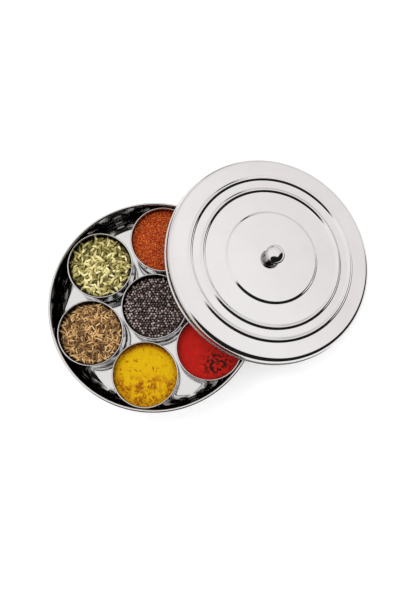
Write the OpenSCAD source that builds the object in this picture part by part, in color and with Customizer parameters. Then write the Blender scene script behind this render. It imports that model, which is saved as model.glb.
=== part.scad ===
// Spice box (masala dabba): a round pressed-steel box holding seven small
// cups of spice, with its pressed lid leaning off the rim onto the table.
// Millimetres, +Z up. The origin is the centre of the box's flat base.

/* [Box] */
// Inside radius of the box wall
box_in_r = 100; // [80:1:125]
// Height of the box from its base to the top of its rim
box_h = 46; // [38:1:60]
// Thickness of the box's sheet
box_sheet = 0.8; // [0.5:0.1:1.2]
// Outside radius of the box's rounded foot
box_foot_r = 13; // [6:1:18]
// Radius of the wired rim's bead
rim_bead_r = 1.5; // [1:0.1:2]

/* [Cups] */
// Height that the cups' rims stand below the box's rim
cup_drop = 3.2; // [2:0.1:12]
// Gap between neighbouring cups at their rims
cup_gap = 2.4; // [1:0.1:5]
// Gap between the ring of cups and the box wall
wall_gap = 0.8; // [0.5:0.1:4]
// Thickness of a cup's sheet
cup_sheet = 0.6; // [0.4:0.1:1]
// Outside radius of a cup's rounded foot
cup_foot_r = 12; // [5:1:16]
// Radius of the bead on a cup's rim
cup_bead_r = 0.7; // [0.5:0.1:1.2]
// Turn of the ring of cups about the box's axis
cup_turn = 23; // [0:1:59]

/* [Spices] */
// Depth of the spice's edge below its cup's rim
fill_drop = 7; // [6:0.5:16]
// Height of the spice's mound above its edge
fill_mound = 2; // [1:0.5:5]
// Clearance between the spice and its cup
fill_gap = 0.15; // [0.1:0.05:0.3]

/* [Lid] */
// Clearance between the closed lid's lip and the box's rim
lid_gap = 1; // [0.6:0.1:2]
// Height of the lid from its lip to its flat plate
lid_h = 12; // [10:0.5:18]
// Thickness of the lid's sheet
lid_sheet = 0.8; // [0.5:0.1:1.2]
// Outside radius of the lid's shoulder
shoulder_r = 5; // [3:0.5:8]
// Radius of the bead on the lid's lip
lip_bead_r = 1; // [0.8:0.1:1.5]
// Radius of the raised disc at the lid's middle
disc_r = 45; // [30:1:50]
// Height of the raised disc above the plate
disc_rise = 1.6; // [1:0.1:3]
// Width of the slope around the raised disc
disc_slope = 3; // [1:0.5:4]
// Radius of the inner pressed ridge at its crest
ridge_in_r = 70.5; // [58:0.5:75]
// Radius of the outer pressed ridge at its crest
ridge_out_r = 83; // [80:0.5:90]
// Width of a pressed ridge
ridge_w = 6; // [4:0.5:8]
// Height of a pressed ridge above the plate
ridge_rise = 1.4; // [0.9:0.1:1.8]

/* [Lid at rest] */
// Distance in plan from the outside of the box's rim to the lid's middle
lid_beyond = 19; // [10:1:27]
// Direction in which the lid lies, turned from +X towards +Y
lid_turn = 23; // [0:1:59]
// Clearance between the leaning lid and what it leans on
rest_gap = 0.4; // [0.3:0.1:1]

/* [Knob] */
// Height of the knob above the raised disc
knob_h = 14; // [12:0.5:24]
// Radius of the knob's head
knob_r = 9.7; // [8:0.1:14]
// Height of the head's straight edge
knob_edge_h = 3; // [2:0.5:5]
// Radius of the head's domed top
knob_dome_r = 12; // [10:0.5:20]
// Radius of the knob's neck
neck_r = 4.2; // [3.5:0.1:6]
// Radius of the knob's foot flange
flange_r = 6.5; // [5:0.1:8]
// Height of the knob's foot flange
flange_h = 1.6; // [1:0.1:3]
// Radius of the screw's shank
screw_r = 1.95; // [1.4:0.05:2.2]
// Clearance between the shank and the knob's threaded hole
thread_gap = 0.05; // [0.03:0.01:0.1]
// Clearance between the shank and the holes in the lid and the washer
hole_gap = 0.25; // [0.1:0.05:0.4]
// Depth to which the screw reaches into the knob
screw_reach = 7; // [5:0.5:9]
// Clearance past the screw's end in the knob
screw_end_gap = 1; // [0.5:0.5:2]
// Radius of the screw's head
screw_head_r = 3.8; // [3:0.1:5]
// Height of the screw's head
screw_head_h = 2.4; // [1.8:0.1:3]
// Width of the slot in the screw's head
screw_slot_w = 1; // [0.6:0.1:1.4]
// Depth of the slot in the screw's head
screw_slot_h = 1.1; // [0.6:0.1:1.4]
// Radius of the washer
washer_r = 6; // [5:0.1:8]
// Thickness of the washer
washer_h = 0.8; // [0.5:0.1:1.5]

/* [Hidden] */
$fn = 96;

STEEL = [0.80, 0.80, 0.82];
BRIGHT = [0.90, 0.90, 0.92];

// Spice name, its colour, its seat (0 is the middle, 1 to 6 go round the ring),
// and what its depth below the rim and its mound add to the common ones
SPICES = [
    ["mustard", [0.16, 0.13, 0.12], 0, 0, -0.5],
    ["coriander", [0.62, 0.50, 0.30], 1, 0, 0],
    ["chilli_flakes", [0.80, 0.22, 0.06], 2, -0.3, 0.3],
    ["fennel", [0.74, 0.72, 0.42], 3, -0.3, 0.3],
    ["cumin", [0.55, 0.38, 0.20], 4, 0, 0],
    ["turmeric", [0.93, 0.70, 0.06], 5, -0.3, 0.3],
    ["chilli_powder", [0.72, 0.05, 0.03], 6, 0, 0]
];

// Box rim: the bead's middle circle and its outer edge
rim_mid_r = box_in_r + rim_bead_r;
rim_out_r = rim_mid_r + rim_bead_r;

// Cups: three in a row just fill the box from wall to wall
cup_rim_r = (box_in_r - wall_gap - cup_gap) / 3;
cup_pitch = 2 * cup_rim_r + cup_gap;
cup_out_r = cup_rim_r - cup_bead_r;
cup_in_r = cup_out_r - cup_sheet;
cup_h = box_h - box_sheet - cup_drop;

// Lid in its own frame, standing on its lip at z = 0
lip_in_r = rim_out_r + lid_gap;
lid_out_r = lip_in_r + lid_sheet;
lip_mid_r = lid_out_r;
disc_top = lid_h + disc_rise;
disc_under = disc_top - lid_sheet;
lid_reach = rim_out_r + lid_beyond;
ridge_arc_r = (pow(ridge_w / 2, 2) + pow(ridge_rise, 2)) / (2 * ridge_rise);

// Height of the lip's lowest plane over the table for a lean of t degrees: its
// far edge stands rest_gap above the table
function lip_base(t) = lip_mid_r * sin(t) + lip_bead_r * (1 - cos(t)) + rest_gap;
// Height of a point of the leaning lid, at height d in the lid's own frame,
// where it passes a distance p from the box's axis
function lid_over(t, p, d) =
    lip_base(t) + (lid_reach - p + d * sin(t)) * tan(t) + d * cos(t);
// Distance from the box's axis at which a ring of the leaning lid, with radius q
// at height d in the lid's own frame, crosses the rim. In plan the ring is an
// ellipse, so this is the near root of a quadratic.
function cross_at(t, q, d) =
    let (mid = lid_reach + d * sin(t),
         b = mid / pow(cos(t), 2),
         c = b * mid - pow(q, 2) + pow(rim_mid_r, 2))
    c / (b + sqrt(b * b - c * pow(tan(t), 2)));
// Room left over the rim by the lip where they cross, by the flat plate where
// it first passes over the rim outside the raised disc, and by that disc
function lip_room(t) =
    lid_over(t, cross_at(t, lip_mid_r, lip_bead_r), lip_bead_r)
    - lip_bead_r - rest_gap - box_h;
function plate_room(t) =
    let (d = lid_h - lid_sheet,
         p = min(rim_mid_r, cross_at(t, disc_r + disc_slope, d)))
    lid_over(t, p, d) - rest_gap - box_h;
function disc_room(t) = lid_over(t, rim_mid_r, disc_under) - rest_gap - box_h;
// Least lean at which the lid clears the rim, found by halving
function least_lean(low, high, n) =
    let (mid = (low + high) / 2)
    n == 0 ? high
    : min(lip_room(mid), plate_room(mid), disc_room(mid)) < 0
        ? least_lean(mid, high, n - 1)
        : least_lean(low, mid, n - 1);

lid_lean = least_lean(0, 40, 30);

// Half outline of a round pan with a rounded foot, filled to its axis
module pan_outline(r, foot_r, h) {
    square([r - foot_r, h]);
    translate([0, foot_r]) square([r, h - foot_r]);
    translate([r - foot_r, foot_r]) circle(foot_r);
}

// Pressed pan of even sheet, open at the top, with a beaded rim
module pan(in_r, sheet, foot_r, h, bead_mid_r, bead_r) {
    rotate_extrude() {
        difference() {
            pan_outline(in_r + sheet, foot_r, h - bead_r);
            translate([0, sheet]) pan_outline(in_r, foot_r - sheet, h);
        }
        translate([bead_mid_r, h - bead_r]) circle(bead_r);
    }
}

// Half outline of the rise of the lid's middle disc
module disc_outline() {
    polygon([[0, -lid_sheet], [disc_r + disc_slope, -lid_sheet],
             [disc_r + disc_slope, 0], [disc_r, disc_rise], [0, disc_rise]]);
}

module box_body() {
    color(STEEL) pan(box_in_r, box_sheet, box_foot_r, box_h, rim_mid_r, rim_bead_r);
}

// Puts a piece of the lid where the leaning lid has it
module at_lid() {
    rotate([0, 0, lid_turn])
        translate([lid_reach, 0, lip_base(lid_lean)])
            rotate([0, lid_lean, 0]) children();
}

module ridge_outline(r, arc_r) {
    translate([r, lid_h + ridge_rise - ridge_arc_r]) circle(arc_r);
}

// Pressed plate with its raised disc and two ridges, its shoulder and its lip
module lid() {
    color(STEEL) at_lid() difference() {
        rotate_extrude() {
            difference() {
                union() {
                    translate([0, lid_h]) mirror([0, 1])
                        pan_outline(lid_out_r, shoulder_r, lid_h - lip_bead_r);
                    translate([0, lid_h]) disc_outline();
                    intersection() {
                        for (r = [ridge_in_r, ridge_out_r]) ridge_outline(r, ridge_arc_r);
                        translate([0, lid_h - lid_sheet])
                            square([lid_out_r, lid_sheet + ridge_rise]);
                    }
                }
                translate([0, lid_h - lid_sheet]) mirror([0, 1])
                    pan_outline(lip_in_r, shoulder_r - lid_sheet, lid_h);
                translate([0, lid_h - lid_sheet]) disc_outline();
                for (r = [ridge_in_r, ridge_out_r])
                    ridge_outline(r, ridge_arc_r - lid_sheet);
            }
            translate([lip_mid_r, lip_bead_r]) circle(lip_bead_r);
        }
        cylinder(h = 2 * disc_top, r = screw_r + hole_gap);
    }
}

module knob() {
    head_h = knob_edge_h + knob_dome_r - sqrt(pow(knob_dome_r, 2) - pow(knob_r, 2));
    color(BRIGHT) at_lid() translate([0, 0, disc_top]) difference() {
        rotate_extrude() {
            square([flange_r, flange_h]);
            square([neck_r, knob_h - head_h + knob_edge_h / 2]);
            intersection() {
                translate([0, knob_h - head_h]) square([knob_r, head_h]);
                translate([0, knob_h - knob_dome_r]) circle(knob_dome_r);
            }
        }
        translate([0, 0, -1])
            cylinder(h = 1 + screw_reach + screw_end_gap, r = screw_r + thread_gap);
    }
}

module knob_washer() {
    color(STEEL) at_lid() translate([0, 0, disc_under - washer_h]) difference() {
        cylinder(h = washer_h, r = washer_r);
        translate([0, 0, -1]) cylinder(h = washer_h + 2, r = screw_r + hole_gap);
    }
}

module knob_screw() {
    head_z = disc_under - washer_h - screw_head_h;
    color(STEEL) at_lid() translate([0, 0, head_z]) difference() {
        union() {
            cylinder(h = screw_head_h, r = screw_head_r);
            cylinder(h = disc_top - head_z + screw_reach, r = screw_r);
        }
        translate([-screw_head_r - 1, -screw_slot_w / 2, -1])
            cube([2 * screw_head_r + 2, screw_slot_w, screw_slot_h + 1]);
    }
}

// Puts a cup's piece at its seat in the box
module at_seat(seat) {
    a = cup_turn + 60 * (seat - 1);
    r = seat == 0 ? 0 : cup_pitch;
    translate([r * cos(a), r * sin(a), box_sheet]) children();
}

module cup(spice) {
    color(BRIGHT) at_seat(spice[2])
        pan(cup_in_r, cup_sheet, cup_foot_r, cup_h, cup_out_r, cup_bead_r);
}

// The cup's heap of spice, domed by a shallow cap over its level edge
module fill(spice) {
    edge_h = cup_h - cup_sheet - fill_drop - spice[3];
    mound_h = fill_mound + spice[4];
    heap_r = cup_in_r - fill_gap;
    cap_r = (pow(heap_r, 2) + pow(mound_h, 2)) / (2 * mound_h);
    color(spice[1]) at_seat(spice[2]) translate([0, 0, cup_sheet]) rotate_extrude()
        intersection() {
            pan_outline(heap_r, cup_foot_r - cup_sheet, edge_h + mound_h);
            translate([0, edge_h + mound_h - cap_r]) circle(cap_r);
        }
}

box_body();
lid();
knob();
knob_screw();
knob_washer();
for (s = SPICES) {
    cup(s);
    fill(s);
}
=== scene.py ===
"""Looks of the spice box: polished steel, heaps of seeds and powders, a white studio."""

import math

import bpy
import numpy as np
from mathutils import Matrix, Vector, noise


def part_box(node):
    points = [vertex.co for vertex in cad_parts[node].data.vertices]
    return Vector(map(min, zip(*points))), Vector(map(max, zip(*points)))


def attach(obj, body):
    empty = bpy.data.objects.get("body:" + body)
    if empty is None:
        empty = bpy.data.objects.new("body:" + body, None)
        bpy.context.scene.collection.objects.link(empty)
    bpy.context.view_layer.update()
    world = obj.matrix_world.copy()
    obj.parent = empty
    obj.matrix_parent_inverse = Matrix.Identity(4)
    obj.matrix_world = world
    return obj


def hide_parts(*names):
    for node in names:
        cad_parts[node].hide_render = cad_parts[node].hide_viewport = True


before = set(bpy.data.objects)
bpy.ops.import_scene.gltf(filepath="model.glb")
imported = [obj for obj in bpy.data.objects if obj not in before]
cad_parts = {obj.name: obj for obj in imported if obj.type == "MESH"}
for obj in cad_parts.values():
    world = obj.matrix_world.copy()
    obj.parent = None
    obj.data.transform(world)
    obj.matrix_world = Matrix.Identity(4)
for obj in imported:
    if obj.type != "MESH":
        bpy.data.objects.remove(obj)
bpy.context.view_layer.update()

MM = 0.001

# ---------------------------------------------------------------- sizes, millimetres
BOX_SHEET = 0.8
BOX_FOOT = 13.0
RIM_BEAD = 1.5
CUP_SHEET = 0.6
CUP_FOOT = 12.0
CUP_BEAD = 0.7
LID_SHEET = 0.8
LID_H = 12.0
SHOULDER = 5.0
LIP_BEAD = 1.0
LIP_IN = 104.0
DISC_R = 45.0
DISC_RISE = 1.6
DISC_SLOPE = 3.0
RIDGES = (70.5, 83.0)
RIDGE_W = 6.0
RIDGE_RISE = 1.4
KNOB_H = 14.0
KNOB_R = 9.7
HEAD_H = 7.94
NECK_R = 4.2
FLANGE_R = 6.5
FLANGE_H = 1.6
WASHER_H = 0.8
SCREW_HOLE_R = 2.2

# Points round each spun piece
BOX_AROUND = 288
CUP_AROUND = 160
LID_AROUND = 420
KNOB_AROUND = 96

# Mound of each heap over its edge, millimetres
MOUND = {
    "mustard": 1.5,
    "coriander": 2.0,
    "chilli_flakes": 2.3,
    "fennel": 2.3,
    "cumin": 2.0,
    "turmeric": 2.3,
    "chilli_powder": 2.0,
}


# ---------------------------------------------------------------- places, from the frame
def middle(node):
    """Middle of a node's box."""
    low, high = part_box(node)
    return (low + high) / 2


def half_width(node):
    """Half the wider side of a node's box, in millimetres."""
    low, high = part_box(node)
    return max(high.x - low.x, high.y - low.y) / 2 / MM


def lid_place():
    """The leaning lid's own frame: its axis is the washer's, its origin lies at its lip."""
    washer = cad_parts["knob_washer"]
    face = max(washer.data.polygons, key=lambda p: p.area)
    axis = face.normal if face.normal.z > 0 else -face.normal
    washer_mid = LID_H + DISC_RISE - LID_SHEET - WASHER_H / 2
    origin = middle("knob_washer") - axis * washer_mid * MM
    return Matrix.Translation(origin) @ axis.to_track_quat("Z", "Y").to_matrix().to_4x4()


# ---------------------------------------------------------------- mesh helpers
def arc(r, z, radius, start, end, steps):
    """Points of an arc about (r, z), from one angle to another in degrees."""
    turns = [math.radians(start + (end - start) * i / steps) for i in range(steps + 1)]
    return [(r + radius * math.cos(a), z + radius * math.sin(a)) for a in turns]


def make_object(name, verts, faces, place, sharp=40):
    """A smooth-shaded object from points in millimetres, set in its place in the frame.

    Each point keeps its place in the piece's own frame as 'spot', which materials read.
    """
    mesh = bpy.data.meshes.new(name)
    mesh.from_pydata([tuple(c * MM for c in v) for v in verts], [], faces)
    own = np.zeros(3 * len(mesh.vertices), np.float32)
    mesh.vertices.foreach_get("co", own)
    mesh.attributes.new("spot", "FLOAT_VECTOR", "POINT").data.foreach_set("vector", own)
    mesh.transform(place)
    mesh.shade_smooth()
    if sharp:
        mesh.set_sharp_from_angle(angle=math.radians(sharp))
    obj = bpy.data.objects.new(name, mesh)
    bpy.context.scene.collection.objects.link(obj)
    return obj


def lathe(name, outline, place, around, sharp=40):
    """Turns a closed outline of (radius, height) points round the Z axis."""
    verts, rings = [], []
    for r, z in outline:
        if r < 1e-6:
            rings.append([len(verts)] * around)
            verts.append((0, 0, z))
            continue
        first = len(verts)
        rings.append(list(range(first, first + around)))
        for i in range(around):
            a = 2 * math.pi * i / around
            verts.append((r * math.cos(a), r * math.sin(a), z))
    faces = []
    for here, there in zip(rings, rings[1:] + rings[:1]):
        if here[0] == here[1] and there[0] == there[1]:
            continue
        for i in range(around):
            j = (i + 1) % around
            corners = dict.fromkeys((here[i], here[j], there[j], there[i]))
            faces.append(tuple(corners))
    return make_object(name, verts, faces, place, sharp)


def add_tone(obj, values):
    """Stores one number for each point, which the material reads as 'tone'."""
    layer = obj.data.attributes.new("tone", "FLOAT", "POINT")
    layer.data.foreach_set("value", np.asarray(values, np.float32))


# ---------------------------------------------------------------- materials
def new_material(name):
    """A material, its node tree and its shader."""
    mat = bpy.data.materials.new(name)
    mat.use_nodes = True
    return mat, mat.node_tree, mat.node_tree.nodes["Principled BSDF"]


def add(tree, kind, **settings):
    """Adds a node and sets its own settings, but not its sockets."""
    made = tree.nodes.new(kind)
    for key, value in settings.items():
        setattr(made, key, value)
    return made


def ramp(tree, source, stops):
    """A colour ramp on a 0 to 1 value: stops are (place, colour)."""
    made = add(tree, "ShaderNodeValToRGB")
    line = made.color_ramp
    while len(line.elements) < len(stops):
        line.elements.new(0.5)
    for element, (place, colour) in zip(line.elements, stops):
        element.position = place
        element.color = (*colour, 1)
    tree.links.new(source, made.inputs["Fac"])
    return made.outputs["Color"]


def own_place(tree):
    """A point's place in its piece's own frame, in metres."""
    return add(tree, "ShaderNodeAttribute", attribute_name="spot").outputs["Vector"]


def spread(tree, source, low, high, to_low, to_high):
    """Maps a value from one range to another."""
    made = add(tree, "ShaderNodeMapRange")
    made.inputs["From Min"].default_value = low
    made.inputs["From Max"].default_value = high
    made.inputs["To Min"].default_value = to_low
    made.inputs["To Max"].default_value = to_high
    tree.links.new(source, made.inputs["Value"])
    return made.outputs["Result"]


def noise_of(tree, vector, scale, detail=3.0, rough=0.5):
    """Noise of about 0.2 to 0.8 over a vector."""
    made = add(tree, "ShaderNodeTexNoise")
    made.inputs["Scale"].default_value = scale
    made.inputs["Detail"].default_value = detail
    made.inputs["Roughness"].default_value = rough
    tree.links.new(vector, made.inputs["Vector"])
    return made.outputs["Fac"]


def bump(tree, height, strength, distance, under=None):
    """A surface's normal, raised by a height and laid over another bump if one is given."""
    made = add(tree, "ShaderNodeBump")
    made.inputs["Strength"].default_value = strength
    made.inputs["Distance"].default_value = distance
    tree.links.new(height, made.inputs["Height"])
    if under is not None:
        tree.links.new(under, made.inputs["Normal"])
    return made.outputs["Normal"]


def ring_coordinates(tree, coords):
    """(distance from the axis, 0, height): the same all the way round a spun piece."""
    flat = add(tree, "ShaderNodeVectorMath", operation="MULTIPLY")
    flat.inputs[1].default_value = (1, 1, 0)
    length = add(tree, "ShaderNodeVectorMath", operation="LENGTH")
    parts = add(tree, "ShaderNodeSeparateXYZ")
    joined = add(tree, "ShaderNodeCombineXYZ")
    tree.links.new(coords, flat.inputs[0])
    tree.links.new(flat.outputs["Vector"], length.inputs[0])
    tree.links.new(coords, parts.inputs["Vector"])
    tree.links.new(length.outputs["Value"], joined.inputs["X"])
    tree.links.new(parts.outputs["Z"], joined.inputs["Z"])
    return joined.outputs["Vector"]


# How close the steel's marks lie: smears, waves from pressing, and spun rings
SMEAR_SCALE = 38.0
WAVE_SCALE = 26.0
RING_SCALE = 2600.0
# Depth of the spun rings, millimetres
RING_DEPTH = 0.02
# How far a grain's own speckle shifts its tone
GRAIN_SHARE = 0.35


def steel(name, colour, least_rough, wave, spin=0.06):
    """Polished sheet: fine spun rings, slow waves from pressing, and faint smears.

    The wave's depth is in millimetres, and spin is how strongly the rings show.
    """
    mat, tree, shader = new_material(name)
    shader.inputs["Metallic"].default_value = 1.0
    coords = own_place(tree)
    rings = ring_coordinates(tree, coords)
    smear = noise_of(tree, coords, SMEAR_SCALE, 4.0, 0.6)
    tint = ramp(tree, smear, [(0.3, [c * 0.95 for c in colour]), (0.7, colour)])
    tree.links.new(tint, shader.inputs["Base Color"])
    rough = spread(tree, smear, 0.35, 0.75, least_rough, least_rough * 2.2)
    tree.links.new(rough, shader.inputs["Roughness"])
    waves = bump(tree, noise_of(tree, coords, WAVE_SCALE, 1.0, 0.4), 1.0, wave * MM)
    spun = noise_of(tree, rings, RING_SCALE, 2.0, 0.6)
    tree.links.new(bump(tree, spun, spin, RING_DEPTH * MM, waves), shader.inputs["Normal"])
    return mat


def seed_material(name, stops, roughness, grain, depth, coat=0.0, shine=0.5):
    """Seeds or grains: each point's tone, which holds painted shade and highlight as well as
    colour, with a fine grain mixed into it.
    """
    mat, tree, shader = new_material(name)
    shader.inputs["Roughness"].default_value = roughness
    shader.inputs["Coat Weight"].default_value = coat
    shader.inputs["Coat Roughness"].default_value = 0.2
    shader.inputs["Specular IOR Level"].default_value = shine
    tone = add(tree, "ShaderNodeAttribute", attribute_name="tone").outputs["Fac"]
    coords = own_place(tree)
    fine = noise_of(tree, coords, grain, 3.0, 0.6)
    mixed = add(tree, "ShaderNodeMath", operation="MULTIPLY_ADD")
    mixed.inputs[1].default_value = GRAIN_SHARE
    tree.links.new(spread(tree, fine, 0.3, 0.7, -0.5, 0.5), mixed.inputs[0])
    tree.links.new(tone, mixed.inputs[2])
    tree.links.new(ramp(tree, mixed.outputs["Value"], stops), shader.inputs["Base Color"])
    tree.links.new(bump(tree, fine, 0.6, depth * MM), shader.inputs["Normal"])
    return mat


STEEL_COLOUR = (0.56, 0.55, 0.54)
steel_box = steel("box steel", STEEL_COLOUR, least_rough=0.05, wave=0.6)
steel_lid = steel("lid steel", (0.61, 0.595, 0.59), least_rough=0.05, wave=0.03)
steel_cup = steel("cup steel", STEEL_COLOUR, least_rough=0.06, wave=0.20)
steel_knob = steel("knob steel", (0.60, 0.59, 0.58), least_rough=0.04, wave=0.02)
steel_screw = steel("screw steel", (0.50, 0.49, 0.48), least_rough=0.18, wave=0.02, spin=0.3)


# ---------------------------------------------------------------- pressed steel
def pan_outline(in_r, sheet, foot, height, bead_mid, bead_r):
    """Closed outline of a pressed pan of even sheet with a beaded rim."""
    hub = 8
    foot_gap = 0.5
    wall_gap = 1.5
    out_r = in_r + sheet
    bead_z = height - bead_r
    meet = math.degrees(math.acos((out_r - bead_mid) / bead_r))
    inner = math.degrees(math.acos(max(-1, (in_r - bead_mid) / bead_r)))
    points = [(0, 0)]
    points += [(r, 0) for r in np.linspace(hub, out_r - foot - foot_gap, 6)]
    points += arc(out_r - foot, foot, foot, -90, 0, 14)
    points += [(out_r, z) for z in np.linspace(foot + wall_gap, bead_z - 3 * bead_r, 4)]
    points += arc(bead_mid, bead_z, bead_r, -meet, inner, 28)
    points += [(in_r, z) for z in np.linspace(bead_z - 2 * bead_r, foot + wall_gap, 4)]
    points += arc(in_r - (foot - sheet), foot, foot - sheet, 0, -90, 14)
    points += [(r, sheet) for r in np.linspace(in_r - foot - foot_gap, hub, 6)]
    points += [(0, sheet)]
    return points


def make_box():
    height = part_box("box_body")[1].z / MM
    in_r = half_width("box_body") - 2 * RIM_BEAD
    outline = pan_outline(in_r, BOX_SHEET, BOX_FOOT, height, in_r + RIM_BEAD, RIM_BEAD)
    box = lathe("box_shell", outline, Matrix.Identity(4), BOX_AROUND)
    box.data.materials.append(steel_box)
    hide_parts("box_body")
    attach(box, "box")


def make_cup(spice):
    node = "cup_" + spice
    low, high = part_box(node)
    height = (high.z - low.z) / MM
    out_r = half_width(node) - CUP_BEAD
    in_r = out_r - CUP_SHEET
    outline = pan_outline(in_r, CUP_SHEET, CUP_FOOT, height, out_r, CUP_BEAD)
    mid = middle(node)
    place = Matrix.Translation((mid.x, mid.y, low.z))
    cup = lathe(spice + "_cup", outline, place, CUP_AROUND)
    cup.data.materials.append(steel_cup)
    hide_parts(node)
    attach(cup, node)


def smooth_step(t):
    """Rises smoothly from 0 to 1 as t does, and is level outside that."""
    t = min(1, max(0, t))
    return t * t * (3 - 2 * t)


def plate_height(r):
    """Height of the lid's top over its flat plate, with its disc and ridges."""
    rise = DISC_RISE * (1 - smooth_step((r - DISC_R) / DISC_SLOPE))
    for crest in RIDGES:
        t = (r - crest) / (RIDGE_W / 2)
        if abs(t) < 1:
            rise += RIDGE_RISE * 0.5 * (1 + math.cos(math.pi * t))
    return rise


def plate_radii(edge):
    """Radii along the plate, close together where its height changes."""
    disc_margin = 0.4
    ridge_reach = RIDGE_W / 2 + 0.3
    radii = list(np.linspace(10, DISC_R - 1, 8))
    radii += list(np.linspace(DISC_R - disc_margin, DISC_R + DISC_SLOPE + disc_margin, 13))
    for crest in RIDGES:
        radii += list(np.linspace(crest - ridge_reach, crest + ridge_reach, 19))
    radii += list(np.linspace(RIDGES[-1] + RIDGE_W / 2 + 3, edge - 1, 5))
    return sorted(radii)


def lid_outline():
    """Closed outline of the lid: down its top, shoulder and lip, and back up inside."""
    out_r = LIP_IN + LID_SHEET
    bend_z = LID_H - SHOULDER
    wall = (bend_z - 1.5, 2 * LIP_BEAD + 1)
    top = [(r, LID_H + plate_height(r)) for r in plate_radii(out_r - SHOULDER)]
    under = [(r, z - LID_SHEET) for r, z in reversed(top)]
    points = [(SCREW_HOLE_R, LID_H + DISC_RISE)] + top
    points += arc(out_r - SHOULDER, bend_z, SHOULDER, 90, 0, 16)
    points += [(out_r, z) for z in wall]
    points += arc(out_r, LIP_BEAD, LIP_BEAD, 90, -217, 26)
    points += [(LIP_IN, z) for z in reversed(wall)]
    points += arc(LIP_IN - SHOULDER + LID_SHEET, bend_z, SHOULDER - LID_SHEET, 0, 90, 12)
    return points + under + [(SCREW_HOLE_R, LID_H + DISC_RISE - LID_SHEET)]


def neck_radius(t):
    """Radius of the knob's neck at t millimetres over its flange: flared, then waisted."""
    flare = 1.6 * math.exp(-2.2 * t)
    waist = 0.15 * math.sin(math.pi * t / 4)
    return NECK_R + flare - waist


def knob_outline():
    """Closed outline of the turned knob, standing on its flange."""
    base_edge = 0.5
    flange_edge = 0.6
    head_edge = 1.9
    throat = 1.1
    head_z = KNOB_H - HEAD_H
    widest_z = head_z + head_edge
    points = [(0, 0)]
    points += arc(FLANGE_R - base_edge, base_edge, base_edge, -90, 0, 4)
    points += arc(FLANGE_R - flange_edge, FLANGE_H - flange_edge, flange_edge, 0, 80, 5)
    for t in np.linspace(0, head_z - FLANGE_H - 0.9, 12):
        points.append((neck_radius(t), FLANGE_H + 0.1 + t))
    points += arc(NECK_R + 1.4, head_z - 1.0, throat, 165, 95, 5)
    points += arc(KNOB_R - head_edge, widest_z, head_edge, -90, 0, 9)
    steps = 24
    for i in range(1, steps):
        a = math.radians(90 * i / steps)
        points.append((KNOB_R * math.cos(a) ** 0.9, widest_z + (KNOB_H - widest_z) * math.sin(a)))
    return points + [(0, KNOB_H)]


def make_lid(place):
    lid = lathe("lid_plate", lid_outline(), place, LID_AROUND, 50)
    lid.data.materials.append(steel_lid)
    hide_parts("lid")
    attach(lid, "lid")

    stand = place @ Matrix.Translation((0, 0, (LID_H + DISC_RISE) * MM))
    knob = lathe("turned_knob", knob_outline(), stand, KNOB_AROUND, 60)
    knob.data.materials.append(steel_knob)
    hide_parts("knob")
    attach(knob, "lid")

    for node in ("knob_screw", "knob_washer"):
        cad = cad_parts[node]
        cad.data.materials.clear()
        cad.data.materials.append(steel_screw)


# ---------------------------------------------------------------- heaps of spice
# Random places tried for each layer of a heap
TRIES = 9000
# The heap under a layer of seeds, painted dark for the shade between them, and a powder's finer one
BED_RINGS = 10
BED_AROUND = 64
POWDER_RINGS = 100
POWDER_AROUND = 400
# Tone of the heap that shows between seeds: painted shade, dark as the gaps between them
GAP_SHADE_TONE = -0.4
# How much a rib stands out of a seed, as a share of its radius
RIB_SHARE = 0.12


class Heap:
    """A cup's heap: its place, its size and its domed surface, in millimetres."""

    def __init__(self, spice):
        low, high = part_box("fill_" + spice)
        mid = middle("fill_" + spice)
        self.spice = spice
        self.r = half_width("fill_" + spice)
        self.top = high.z / MM - low.z / MM
        self.mound = MOUND[spice]
        self.place = Matrix.Translation((mid.x, mid.y, low.z))

    def height(self, r):
        """Height of the domed surface over the heap's foot, at a distance from its middle."""
        return self.top - self.mound * (r / self.r) ** 2


def heap_grid(heap, rings, around, lift):
    """A closed heap: a polar grid raised by lift(x, y), its side and its flat bottom."""
    foot = CUP_FOOT - CUP_SHEET
    verts = [(0, 0, heap.top + lift(0, 0))]
    faces = []
    for k in range(1, rings + 1):
        r = heap.r * k / rings
        for i in range(around):
            a = 2 * math.pi * (i + 0.5 * (k % 2)) / around
            x, y = r * math.cos(a), r * math.sin(a)
            verts.append((x, y, heap.height(r) + lift(x, y)))
    for i in range(around):
        faces.append((0, 1 + i, 1 + (i + 1) % around))
    for k in range(rings - 1):
        here, there = 1 + k * around, 1 + (k + 1) * around
        for i in range(around):
            j = (i + 1) % around
            faces.append((here + i, there + i, there + j, here + j))
    edge = 1 + (rings - 1) * around
    for r, z in ((heap.r, foot), (heap.r - 0.3 * foot, 0.3 * foot), (heap.r - foot, 0)):
        first = len(verts)
        for i in range(around):
            a = 2 * math.pi * (i + 0.5 * (rings % 2)) / around
            verts.append((r * math.cos(a), r * math.sin(a), z))
        for i in range(around):
            j = (i + 1) % around
            faces.append((edge + i, first + i, first + j, edge + j))
        edge = first
    faces.append(tuple(reversed(range(edge, edge + around))))
    return verts, faces


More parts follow.
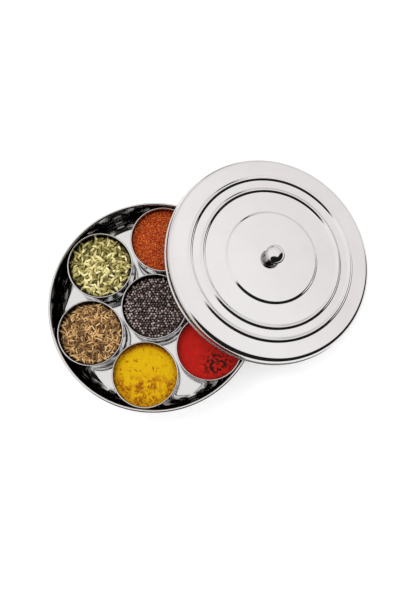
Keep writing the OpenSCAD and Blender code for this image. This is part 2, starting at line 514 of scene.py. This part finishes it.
def seed_shape(length, width, flat, bend, ribs, rings, around, blunt):
    """One seed along X: tapered to both ends, bent in its plane, with ribs along it.

    Gives its points, its faces and, for each point, 1 on a rib to -1 in a groove.
    """
    verts, faces, ribbed = [], [], []
    for k in range(rings):
        t = (k + 0.5) / rings
        r = width / 2 * math.sin(math.pi * t) ** blunt
        x = (t - 0.5) * length
        y0 = bend * (1 - (2 * t - 1) ** 2)
        for i in range(around):
            a = 2 * math.pi * i / around
            high = math.cos(ribs * a) if ribs else 0
            rib = 1 + RIB_SHARE * high
            verts.append((x, y0 + r * rib * math.cos(a), r * rib * flat * math.sin(a)))
            ribbed.append(high)
    for k in range(rings - 1):
        here, there = k * around, (k + 1) * around
        for i in range(around):
            j = (i + 1) % around
            faces.append((here + i, here + j, there + j, there + i))
    ends = len(verts)
    verts += [(-length / 2, 0, 0), (length / 2, 0, 0)]
    last = (rings - 1) * around
    for i in range(around):
        j = (i + 1) % around
        faces.append((ends, j, i))
        faces.append((ends + 1, last + i, last + j))
    return np.array(verts), faces, np.array(ribbed + [0, 0])


def turns(yaw, pitch, roll):
    """Rotation matrices for arrays of angles."""
    cy, sy = np.cos(yaw), np.sin(yaw)
    cp, sp = np.cos(pitch), np.sin(pitch)
    cr, sr = np.cos(roll), np.sin(roll)
    rows = [
        [cy * cp, cy * sp * sr - sy * cr, cy * sp * cr + sy * sr],
        [sy * cp, sy * sp * sr + cy * cr, sy * sp * cr - cy * sr],
        [-sp, cp * sr, cp * cr],
    ]
    return np.stack([np.stack(row, -1) for row in rows], -2)


def pile(heap, shapes, places, angles, sizes, tones, base_tone, sink, stripe=0.0, painted_top_light=0.0):
    """Seeds and the heap under them, whose tone is painted shade between the seeds, as one object
    of closed surfaces.

    The heap lies sink below the domed surface. A seed's tone is the tone it is given, with stripe
    added on its ribs and a painted highlight added toward its top, lighter on top and darker
    underneath.
    """
    verts, faces = heap_grid(heap, BED_RINGS, BED_AROUND, lambda x, y: -sink)
    verts = [np.array(verts)]
    tone = [np.full(len(verts[0]), base_tone)]
    count = len(verts[0])
    spin = turns(*angles)
    for n, (spot, size, shade) in enumerate(zip(places, sizes, tones)):
        points, sides, ribbed = shapes[n % len(shapes)]
        turned = points * size @ spin[n].T
        verts.append(turned + spot)
        faces += [tuple(count + v for v in side) for side in sides]
        # Painted highlight: each point of a seed is lighter the higher it lies in the seed
        upward = turned[:, 2] / np.abs(turned[:, 2]).max()
        tone.append(shade + stripe * ribbed + painted_top_light * upward)
        count += len(points)
    obj = make_object(heap.spice + "_heap", np.concatenate(verts), faces, heap.place, 0)
    add_tone(obj, np.concatenate(tone))
    return obj


def scattered(rng, radius, spacing):
    """Random places in a disc, no two closer than the spacing."""
    cell = spacing / math.sqrt(2)
    taken, places = {}, []
    for x, y in rng.uniform(-radius, radius, (TRIES, 2)):
        if x * x + y * y > radius * radius:
            continue
        key = (int(x // cell), int(y // cell))
        near = [
            taken.get((key[0] + i, key[1] + j)) for i in range(-2, 3) for j in range(-2, 3)
        ]
        if any(p and math.dist(p, (x, y)) < spacing for p in near):
            continue
        taken[key] = (x, y)
        places.append((x, y))
    return np.array(places)


def long_seeds(heap, shapes, seed, layers, spacing, thick, length, tilt, dark):
    """Heap of long seeds: loose layers, each lying a little over the one before.

    Each seed pitches by about tilt, in radians, and each layer further down is darker by dark,
    painted shade between the seeds.
    """
    rng = np.random.default_rng(seed)
    places, pitch, tones = [], [], []
    for layers_over in reversed(range(layers)):
        flat = scattered(rng, heap.r - 0.42 * length, spacing)
        depth = layers_over * thick * 0.8
        lift = rng.uniform(-0.3, 0.3, len(flat)) * thick
        for (x, y), up in zip(flat, lift):
            places.append((x, y, heap.height(math.hypot(x, y)) - depth - thick * 0.3 + up))
        pitch.append(rng.normal(0, tilt, len(flat)))
        # Painted shade: lower layers darker by dark for each layer over them
        tones.append(rng.uniform(0.1, 0.95, len(flat)) - dark * layers_over)
    count = len(places)
    yaw = rng.uniform(0, 2 * math.pi, count)
    roll = rng.normal(0, 0.6, count)
    sizes = rng.uniform(0.82, 1.12, count)
    angles = (yaw, np.concatenate(pitch), roll)
    tones = np.concatenate(tones)
    # Painted shade on the bed between seeds, and a faint painted highlight on each seed's top
    tints = dict(base_tone=GAP_SHADE_TONE, stripe=0.22, painted_top_light=0.12)
    return pile(heap, shapes, np.array(places), angles, sizes, tones, sink=2.6, **tints)


def round_seeds(heap, shapes, seed, spacing, size, layers, dark, painted_top_light):
    """Heap of round seeds: close rows, shaken a little, layer on layer.

    Each layer further down is darker by dark, painted shade between the seeds, and each seed is
    painted lighter toward its top, a painted highlight.
    """
    rng = np.random.default_rng(seed)
    row = spacing * math.sqrt(3) / 2
    reach = int(heap.r / row) + 2
    shake = 0.13 * spacing
    places, tones = [], []
    for layer in range(layers):
        layers_over = layers - 1 - layer
        up = -layers_over * spacing * 0.8
        for j in range(-reach, reach + 1):
            for i in range(-reach, reach + 1):
                x = (i + 0.5 * (j % 2) + layer * 0.5) * spacing + rng.normal(0, shake)
                y = j * row + layer * spacing * 0.29 + rng.normal(0, shake)
                r = math.hypot(x, y)
                if r > heap.r - size * 0.52:
                    continue
                z = heap.height(r) + up - size * 0.35 + rng.uniform(-0.18, 0.18) * size
                places.append((x, y, z))
                # Painted shade: lower layers darker by dark for each layer over them
                tones.append(rng.uniform(0.25, 0.7) - dark * layers_over)
    count = len(places)
    angles = (rng.uniform(0, 6.3, count), rng.uniform(-1.5, 1.5, count), rng.uniform(0, 6.3, count))
    sizes = rng.uniform(0.88, 1.08, count)
    # Painted shade on the bed between seeds, and painted highlight on each seed's top
    tints = dict(base_tone=GAP_SHADE_TONE, painted_top_light=painted_top_light)
    return pile(heap, shapes, np.array(places), angles, sizes, tones, sink=size * 1.4, **tints)


def fractal(x, y, scale, seed, octaves=4):
    """Fractal noise of about -1 to 1 in the plane."""
    spot = Vector((x / scale + seed * 17.3, y / scale - seed * 9.1, seed * 3.7))
    return noise.fractal(spot, 0.9, 2.1, octaves)


def finish_heap(obj, mat):
    """Gives a heap its material and sets it in its cup."""
    spice = obj.name.replace("_heap", "")
    obj.data.materials.append(mat)
    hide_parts("fill_" + spice)
    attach(obj, "cup_" + spice)


def make_fennel():
    grid = dict(ribs=5, rings=8, around=10, blunt=0.85)
    shapes = [seed_shape(8.2, 2.6, flat=0.8, bend=b, **grid) for b in (0.2, 0.8, -0.7, 1.2)]
    # dark is painted shade on the lower layers
    lay = dict(layers=3, spacing=2.6, thick=1.9, length=7.6, tilt=0.18, dark=0.36)
    heap = long_seeds(Heap("fennel"), shapes, seed=11, **lay)
    stops = [
        (0.0, (0.015, 0.010, 0.003)),
        (0.2, (0.085, 0.065, 0.014)),
        (0.45, (0.31, 0.26, 0.060)),
        (0.7, (0.60, 0.51, 0.155)),
        (1.0, (0.92, 0.83, 0.46)),
    ]
    finish_heap(heap, seed_material("fennel seed", stops, 0.55, grain=1100, depth=0.12))


def make_cumin():
    grid = dict(ribs=4, rings=7, around=8, blunt=0.65)
    shapes = [seed_shape(6.4, 1.6, flat=0.9, bend=b, **grid) for b in (0.1, 0.5, -0.4)]
    # dark is painted shade on the lower layers
    lay = dict(layers=3, spacing=1.75, thick=1.3, length=5.8, tilt=0.16, dark=0.34)
    heap = long_seeds(Heap("cumin"), shapes, seed=23, **lay)
    stops = [
        (0.0, (0.016, 0.007, 0.002)),
        (0.25, (0.085, 0.034, 0.009)),
        (0.55, (0.31, 0.150, 0.045)),
        (0.8, (0.55, 0.31, 0.105)),
        (1.0, (0.84, 0.56, 0.25)),
    ]
    finish_heap(heap, seed_material("cumin seed", stops, 0.6, grain=1300, depth=0.1))


def make_mustard():
    shapes = [seed_shape(2.75, 2.7, flat=1.0, bend=0, ribs=0, rings=8, around=14, blunt=0.5)]
    # Painted highlight on each seed's top, up to the light last stop, and painted shade on the
    # lower layer
    lay = dict(spacing=2.8, size=2.75, layers=2, dark=0.3, painted_top_light=0.45)
    heap = round_seeds(Heap("mustard"), shapes, seed=5, **lay)
    stops = [
        (0.0, (0.004, 0.003, 0.003)),
        (0.5, (0.020, 0.012, 0.010)),
        (0.85, (0.080, 0.052, 0.044)),
        (1.0, (0.46, 0.36, 0.33)),
    ]
    finish_heap(heap, seed_material("mustard seed", stops, 0.3, coat=0.5, grain=1500, depth=0.05))


def make_coriander():
    shapes = [seed_shape(3.9, 3.6, flat=0.95, bend=0, ribs=10, rings=8, around=20, blunt=0.5)]
    # A faint painted highlight on each seed's top, and painted shade on the lower layer
    lay = dict(spacing=3.5, size=3.6, layers=2, dark=0.25, painted_top_light=0.15)
    heap = round_seeds(Heap("coriander"), shapes, seed=7, **lay)
    stops = [
        (0.0, (0.06, 0.035, 0.012)),
        (0.5, (0.36, 0.25, 0.10)),
        (1.0, (0.62, 0.48, 0.24)),
    ]
    finish_heap(heap, seed_material("coriander seed", stops, 0.6, grain=900, depth=0.12))


def powder(spice, lift, tone_of, stops, grain, depth):
    """Heap of powder: a fine lumpy surface with a tone at each point, which may hold painted shade
    as well as colour.
    """
    heap = Heap(spice)
    verts, faces = heap_grid(heap, POWDER_RINGS, POWDER_AROUND, lift)
    obj = make_object(spice + "_heap", verts, faces, heap.place, 0)
    add_tone(obj, [tone_of(x, y, heap.r) for x, y, z in verts])
    grains = seed_material(spice + " grains", stops, 0.85, grain=grain, depth=depth, shine=0.15)
    finish_heap(obj, grains)


def clumps(x, y, scale, seed, low, high):
    """0 to 1: where the powder has darker clumps."""
    return smooth_step((fractal(x, y, scale, seed, 5) - low) / (high - low))


def make_turmeric():
    def lift(x, y):
        return 0.55 * fractal(x, y, 9, 3) + 0.22 * fractal(x, y, 1.6, 4) - 0.8

    def tone_of(x, y, r):
        # Painted shade: the powder grows darker toward the cup wall, most at its far side. The
        # ochre patches and dark spots are its own colour.
        edge = smooth_step((math.hypot(x, y) / r - 0.80) / 0.2)
        lower = smooth_step((-y / r + 0.15) / 0.5) * (1 - 0.6 * edge)
        # Painted shade at the far rim, by the cup wall
        far_rim_shade = smooth_step((y / r - 0.55) / 0.3)
        spots = clumps(x, y, 5.0, 8, 0.25, 0.5) * clumps(x, y, 1.4, 12, -0.3, 0.2)
        patch = clumps(x, y, 7.0, 7, -0.35, 0.25)
        grit = 0.35 + 0.65 * clumps(x, y, 1.6, 9, -0.25, 0.3)
        # Ochre patches, with painted shade toward the wall mixed in
        ochre_and_rim_shade = grit * min(1, 1.1 * patch * lower + 0.8 * edge)
        fine = 0.07 * fractal(x, y, 1.1, 10)
        return 0.86 + fine - 0.66 * max(ochre_and_rim_shade, 0.8 * spots) - 0.4 * far_rim_shade * edge

    stops = [
        (0.0, (0.10, 0.028, 0.001)),
        (0.3, (0.32, 0.11, 0.001)),
        (0.55, (0.50, 0.22, 0.001)),
        (0.8, (0.59, 0.34, 0.001)),
        (1.0, (0.66, 0.43, 0.001)),
    ]
    powder("turmeric", lift, tone_of, stops, grain=1800, depth=0.25)


def make_chilli_powder():
    def lift(x, y):
        return 0.35 * fractal(x, y, 11, 13) + 0.12 * fractal(x, y, 1.2, 14) - 0.5

    def tone_of(x, y, r):
        near = smooth_step(1.2 - math.hypot(x / r - 0.25, y / r + 0.5) / 0.6)
        spots = clumps(x, y, 2.6, 18, -0.1, 0.25) * near
        fine = 0.10 * fractal(x, y, 5, 19) + 0.06 * fractal(x, y, 1.3, 20)
        return 0.78 + fine - 0.75 * spots

    stops = [
        (0.0, (0.012, 0.006, 0.003)),
        (0.3, (0.10, 0.007, 0.003)),
        (0.6, (0.34, 0.008, 0.005)),
        (1.0, (0.52, 0.014, 0.009)),
    ]
    powder("chilli_powder", lift, tone_of, stops, grain=2000, depth=0.18)


def chip_shape(rng):
    """A small flat broken flake with six corners round its rim."""
    rim = []
    for i in range(6):
        a = math.pi / 3 * i + rng.uniform(-0.3, 0.3)
        r = rng.uniform(0.55, 1.0)
        rim.append((r * math.cos(a), 0.75 * r * math.sin(a), rng.uniform(-0.12, 0.12)))
    verts = rim + [(0.05, 0, 0.28), (0, 0.05, -0.28)]
    faces = [(i, (i + 1) % 6, 6) for i in range(6)]
    faces += [((i + 1) % 6, i, 7) for i in range(6)]
    return np.array(verts), faces, np.zeros(len(verts))


def make_chilli_flakes():
    heap = Heap("chilli_flakes")
    rng = np.random.default_rng(31)
    shapes = [chip_shape(rng) for _ in range(12)]
    places, tones = [], []
    for layers_over in (2, 1, 0):
        for x, y in scattered(rng, heap.r - 0.8, 0.85):
            bumps = 0.5 * fractal(x, y, 7, 33)
            z = heap.height(math.hypot(x, y)) - 0.9 - 0.45 * layers_over + bumps
            places.append((x, y, z))
            # Painted shade: lower layers of flakes darker
            tones.append(rng.beta(1.3, 1.2) - 0.10 * layers_over)
    count = len(places)
    angles = (rng.uniform(0, 6.3, count), rng.normal(0, 0.5, count), rng.normal(0, 0.5, count))
    sizes = rng.uniform(0.55, 1.05, count)
    places = np.array(places)
    # The bed under the flakes is painted a darker tone, the shade between them
    obj = pile(heap, shapes, places, angles, sizes, tones, base_tone=0.2, sink=2.4)
    stops = [
        (0.0, (0.32, 0.018, 0.003)),
        (0.35, (0.68, 0.070, 0.006)),
        (0.65, (0.88, 0.155, 0.014)),
        (0.9, (0.94, 0.30, 0.04)),
        (1.0, (0.96, 0.52, 0.15)),
    ]
    finish_heap(obj, seed_material("chilli flakes", stops, 0.6, grain=1500, depth=0.08))


# ---------------------------------------------------------------- studio
# Camera: degrees over the table, metres from its aim, and a lens in millimetres
CAMERA_LIFT = 82.0
CAMERA_FAR = 0.800
CAMERA_AIM = (0.0451, 0.0081, 0.025)
CAMERA_LENS = 48.1

# Floor: half its side and its drop below the box's foot, metres
FLOOR_HALF = 3.0
FLOOR_DROP = 0.0002
# How bright the studio is where steel mirrors it, where it is dark, and on what it lights
SHINE_LIGHT = 1.4
DARK_TONE = 0.01
PLAIN_LIGHT = 1.05

# Key light: its place and width in metres
KEY_PLACE = (-0.6, 0.5, 1.1)
KEY_SIZE = 0.9
KEY_WATTS = 6.0

# Where the studio is dark: the way to its middle, its half width and its soft edge
DARK_SIDES = [
    ((0.94, -0.25, 0.24), 34.0, 5.0),
    ((0.21, -0.79, 0.57), 46.0, 6.0),
    ((-0.08, 0.99, 0.02), 9.0, 4.0),
]


def make_camera():
    """Looks down from the front, CAMERA_LIFT degrees over the table."""
    data = bpy.data.cameras.new("camera")
    data.lens = CAMERA_LENS
    data.sensor_width = 36.0
    data.clip_start, data.clip_end = 0.01, 20
    camera = bpy.data.objects.new("camera", data)
    bpy.context.scene.collection.objects.link(camera)
    lift = math.radians(CAMERA_LIFT)
    back = Vector((0, -math.cos(lift), math.sin(lift)))
    camera.location = Vector(CAMERA_AIM) + back * CAMERA_FAR
    camera.rotation_euler = back.to_track_quat("Z", "Y").to_euler()
    bpy.context.scene.camera = camera


def dark_side(tree, way, toward, half, soft):
    """1 where a way lies inside a round dark side of the studio, 0 outside it."""
    dot = add(tree, "ShaderNodeVectorMath", operation="DOT_PRODUCT")
    dot.inputs[1].default_value = Vector(toward).normalized()
    tree.links.new(way, dot.inputs[0])
    outer = math.cos(math.radians(half + soft))
    inner = math.cos(math.radians(half))
    return spread(tree, dot.outputs["Value"], outer, inner, 0.0, 1.0)


def make_world():
    """White all round for what is lit; a white studio with dark sides for what shines."""
    world = bpy.data.worlds.new("studio")
    bpy.context.scene.world = world
    world.use_nodes = True
    tree = world.node_tree
    tree.nodes.clear()
    way = add(tree, "ShaderNodeTexCoord").outputs["Generated"]
    parts = add(tree, "ShaderNodeSeparateXYZ")
    tree.links.new(way, parts.inputs["Vector"])
    sky = ramp(tree, parts.outputs["Z"], [
        (0.0, (0.55, 0.54, 0.54)),
        (0.4, (0.82, 0.80, 0.80)),
        (0.72, (0.90, 0.88, 0.88)),
        (0.79, (1.0, 1.0, 1.0)),
        (0.86, (0.92, 0.91, 0.91)),
        (1.0, (0.97, 0.97, 0.97)),
    ])
    for toward, half, soft in DARK_SIDES:
        mix = add(tree, "ShaderNodeMix", data_type="RGBA")
        tree.links.new(dark_side(tree, way, toward, half, soft), mix.inputs["Factor"])
        tree.links.new(sky, mix.inputs[6])
        mix.inputs[7].default_value = (DARK_TONE, DARK_TONE, DARK_TONE, 1)
        sky = mix.outputs[2]
    shine = add(tree, "ShaderNodeBackground")
    tree.links.new(sky, shine.inputs["Color"])
    shine.inputs["Strength"].default_value = SHINE_LIGHT
    plain = add(tree, "ShaderNodeBackground")
    plain.inputs["Color"].default_value = (1, 1, 1, 1)
    plain.inputs["Strength"].default_value = PLAIN_LIGHT
    either = add(tree, "ShaderNodeMixShader")
    rays = add(tree, "ShaderNodeLightPath")
    tree.links.new(rays.outputs["Is Glossy Ray"], either.inputs["Fac"])
    tree.links.new(plain.outputs["Background"], either.inputs[1])
    tree.links.new(shine.outputs["Background"], either.inputs[2])
    out = add(tree, "ShaderNodeOutputWorld")
    tree.links.new(either.outputs["Shader"], out.inputs["Surface"])


def make_floor():
    """The white table, a hair below the box's foot."""
    mesh = bpy.data.meshes.new("floor")
    corners = [(x * FLOOR_HALF, y * FLOOR_HALF, 0) for x, y in ((-1, -1), (1, -1), (1, 1), (-1, 1))]
    mesh.from_pydata(corners, [], [(0, 1, 2, 3)])
    floor = bpy.data.objects.new("floor", mesh)
    bpy.context.scene.collection.objects.link(floor)
    floor.location.z = -FLOOR_DROP
    mat, tree, shader = new_material("white table")
    coords = add(tree, "ShaderNodeTexCoord").outputs["Object"]
    stops = [(0.0, (0.93, 0.93, 0.93)), (1.0, (0.95, 0.95, 0.95))]
    shade = ramp(tree, noise_of(tree, coords, 3.0), stops)
    tree.links.new(shade, shader.inputs["Base Color"])
    shader.inputs["Roughness"].default_value = 0.9
    shader.inputs["Specular IOR Level"].default_value = 0.0
    shader.inputs["Emission Color"].default_value = (1, 1, 1, 1)
    shader.inputs["Emission Strength"].default_value = 0.25
    mesh.materials.append(mat)


def make_key_light():
    """A round soft light aimed at the box's middle, which the steel does not mirror."""
    data = bpy.data.lights.new("key light", "AREA")
    data.shape = "DISK"
    data.size = KEY_SIZE
    data.energy = KEY_WATTS
    light = bpy.data.objects.new("key light", data)
    bpy.context.scene.collection.objects.link(light)
    light.location = KEY_PLACE
    back = Vector(KEY_PLACE).normalized()
    light.rotation_euler = back.to_track_quat("Z", "Y").to_euler()
    light.visible_glossy = False


make_camera()
make_world()
make_floor()
make_key_light()
make_box()
for spice_name in MOUND:
    make_cup(spice_name)
make_lid(lid_place())
make_fennel()
make_cumin()
make_mustard()
make_coriander()
make_turmeric()
make_chilli_powder()
make_chilli_flakes()

bpy.context.scene.view_settings.view_transform = "Standard"
